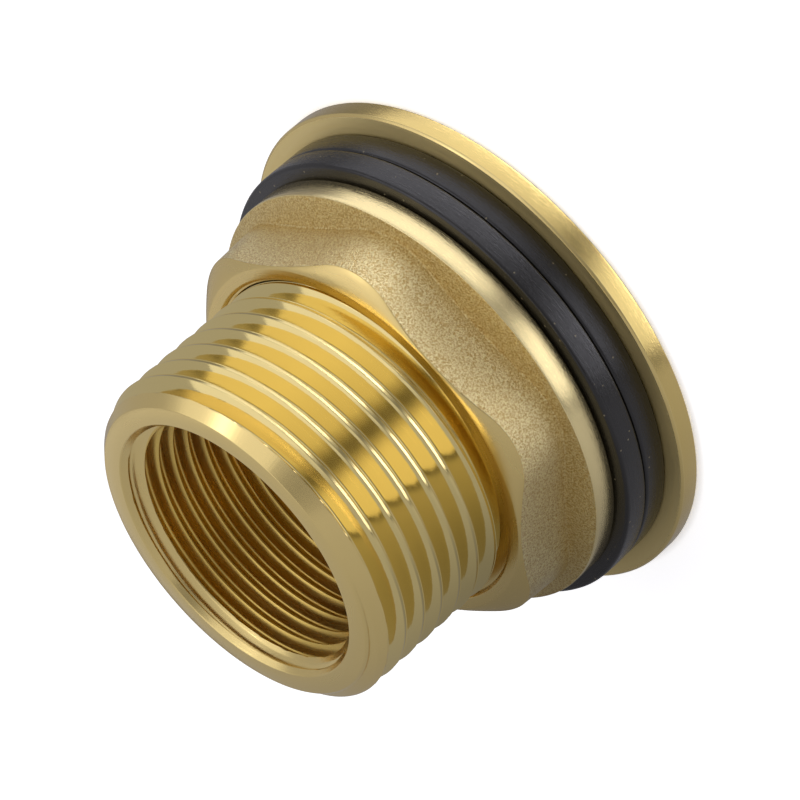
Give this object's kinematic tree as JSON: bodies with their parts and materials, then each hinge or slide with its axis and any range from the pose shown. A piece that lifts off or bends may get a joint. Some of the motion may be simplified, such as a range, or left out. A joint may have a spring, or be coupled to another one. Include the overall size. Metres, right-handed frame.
{
  "type": "tank connector",
  "caption": "Brass tank connector: flanged body with outside and inside pipe threads, a flanged hexagon backnut and rubber washers.",
  "frame": {"origin": "centre of the flange's back face, on the thread axis", "axes": "+Z along the thread axis from the flange towards the spigot's open end; one flat of the nut faces -Y"},
  "size_m": [0.0494, 0.0494, 0.0323],
  "materials": {
    "turned_brass": "turned, bright",
    "cast_brass": "cast, with turned rim and front face",
    "washer_rubber": "moulded, satin"
  },
  "bodies": {
    "spigot": {"flanged_body": "turned_brass", "flange_washer": "washer_rubber"},
    "washer_carrier": {"nut_washer": "washer_rubber"},
    "nut": {"backnut": "cast_brass"}
  },
  "joints": [
    {"name": "backnut_travel", "type": "slide", "parent": "spigot", "child": "washer_carrier", "axis": [0, 0, 1], "range_m": [0, 0.0231]},
    {"name": "backnut_turn", "type": "hinge", "parent": "washer_carrier", "child": "nut", "pos_m": [0, 0, 0.0115], "axis": [0, 0, 1], "range_deg": [0, 3600]}
  ],
  "couplings": [
    {"joint": "backnut_travel", "follows": "backnut_turn", "m_per_rad": 0.00036749}
  ]
}
